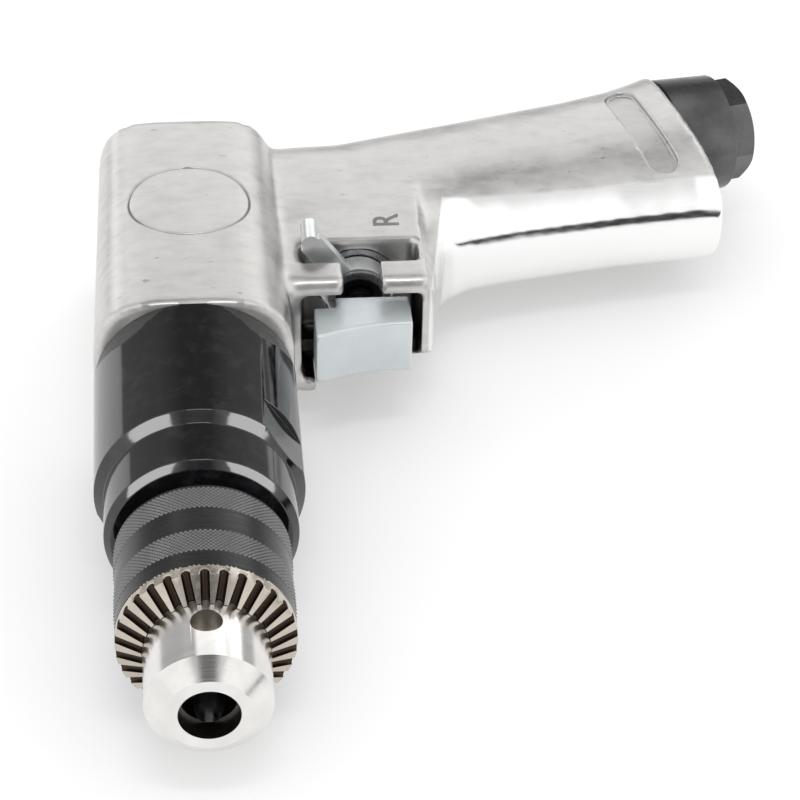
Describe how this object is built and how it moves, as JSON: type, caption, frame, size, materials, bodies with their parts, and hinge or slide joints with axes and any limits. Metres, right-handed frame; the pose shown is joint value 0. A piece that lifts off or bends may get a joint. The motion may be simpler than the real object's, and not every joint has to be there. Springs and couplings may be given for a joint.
{
  "type": "air drill",
  "caption": "Reversible pistol-grip air drill with a keyed three-jaw chuck, planetary gear case, vane motor, trigger and reverse lever.",
  "frame": {"origin": "centre of the chuck's mouth, on its front face", "axes": "-Y along the spindle out of the chuck, +X down the grip's side, +Z out of the tool's left side; the tool lies on its right side"},
  "size_m": [0.1529, 0.2049, 0.042],
  "materials": {
    "cast_alloy": "cast and polished",
    "black_paint": "gloss",
    "dark_steel": "knurled and blackened",
    "bright_steel": "polished",
    "plain_steel": "machined",
    "zinc": "plated, satin",
    "bronze": "machined",
    "black_oxide": "blackened, satin",
    "rubber": "matt",
    "vane_brown": "fibre laminate",
    "felt": "felt"
  },
  "bodies": {
    "case": {"housing": "cast_alloy", "gear_case": "black_paint", "spindle_bearing_front": "bright_steel", "spindle_bearing_rear": "bright_steel", "bearing_spacer": "plain_steel", "ring_gear": "plain_steel", "front_end_plate": "bronze", "rotor_bearing_front": "bright_steel", "motor_cylinder": "plain_steel", "cylinder_dowel": "bright_steel", "rear_end_plate": "bronze", "rotor_bearing_rear": "bright_steel", "valve_bushing": "plain_steel", "throttle_seat": "bronze", "throttle_spring": "bright_steel", "inlet_collar": "black_oxide", "air_inlet": "black_oxide", "inlet_screen": "bright_steel", "inlet_seal": "rubber", "exhaust_muffler": "felt"},
    "spindle": {"spindle": "plain_steel", "chuck_body": "bright_steel", "chuck_screw": "plain_steel", "planet_pins": "bright_steel"},
    "sleeve": {"chuck_sleeve": "dark_steel", "chuck_nut": "plain_steel"},
    "jaw_1": {"chuck_jaw_1": "plain_steel"},
    "jaw_2": {"chuck_jaw_2": "plain_steel"},
    "jaw_3": {"chuck_jaw_3": "plain_steel"},
    "planet_1": {"planet_gear_1": "plain_steel"},
    "planet_2": {"planet_gear_2": "plain_steel"},
    "planet_3": {"planet_gear_3": "plain_steel"},
    "rotor": {"rotor": "plain_steel", "rotor_vanes": "vane_brown"},
    "trigger": {"trigger": "zinc", "trigger_stem": "plain_steel", "throttle_valve": "rubber"},
    "reverse": {"reverse_lever": "zinc", "lever_clip": "dark_steel", "reverse_valve": "plain_steel"}
  },
  "joints": [
    {"name": "spindle_spin", "type": "hinge", "parent": "case", "child": "spindle", "pos_m": [0, 0.06, 0], "axis": [0, 1, 0], "continuous": true},
    {"name": "rotor_spin", "type": "hinge", "parent": "case", "child": "rotor", "pos_m": [0, 0.12, 0], "axis": [0, 1, 0], "continuous": true},
    {"name": "planet_1_spin", "type": "hinge", "parent": "spindle", "child": "planet_1", "pos_m": [0.009, 0.084, 0], "axis": [0, 1, 0], "continuous": true},
    {"name": "planet_2_spin", "type": "hinge", "parent": "spindle", "child": "planet_2", "pos_m": [-0.0045, 0.084, -0.00779], "axis": [0, 1, 0], "continuous": true},
    {"name": "planet_3_spin", "type": "hinge", "parent": "spindle", "child": "planet_3", "pos_m": [-0.0045, 0.084, 0.00779], "axis": [0, 1, 0], "continuous": true},
    {"name": "sleeve_turn", "type": "hinge", "parent": "spindle", "child": "sleeve", "pos_m": [0, 0.03, 0], "axis": [0, 1, 0], "range_deg": [0, 3754.93]},
    {"name": "jaw_1_slide", "type": "slide", "parent": "spindle", "child": "jaw_1", "axis": [0, -0.9613, 0.2756], "range_m": [0, 0.01669]},
    {"name": "jaw_2_slide", "type": "slide", "parent": "spindle", "child": "jaw_2", "axis": [-0.2387, -0.9613, -0.1378], "range_m": [0, 0.01669]},
    {"name": "jaw_3_slide", "type": "slide", "parent": "spindle", "child": "jaw_3", "axis": [0.2387, -0.9613, -0.1378], "range_m": [0, 0.01669]},
    {"name": "trigger_pull", "type": "slide", "parent": "case", "child": "trigger", "axis": [0, 1, 0], "range_m": [0, 0.004], "stiffness_N_per_m": 1200, "springref_m": -0.005, "deforming": ["throttle_spring"]},
    {"name": "reverse_turn", "type": "hinge", "parent": "case", "child": "reverse", "pos_m": [0.0356, 0.126, 0.0035], "axis": [0, 1, 0], "range_deg": [0, 74]}
  ],
  "couplings": [
    {"joint": "rotor_spin", "follows": "spindle_spin", "ratio": 6.6667},
    {"joint": "planet_1_spin", "follows": "spindle_spin", "ratio": -2.4286},
    {"joint": "planet_2_spin", "follows": "spindle_spin", "ratio": -2.4286},
    {"joint": "planet_3_spin", "follows": "spindle_spin", "ratio": -2.4286},
    {"joint": "jaw_1_slide", "follows": "sleeve_turn", "m_per_rad": 0.00025465},
    {"joint": "jaw_2_slide", "follows": "sleeve_turn", "m_per_rad": 0.00025465},
    {"joint": "jaw_3_slide", "follows": "sleeve_turn", "m_per_rad": 0.00025465}
  ]
}
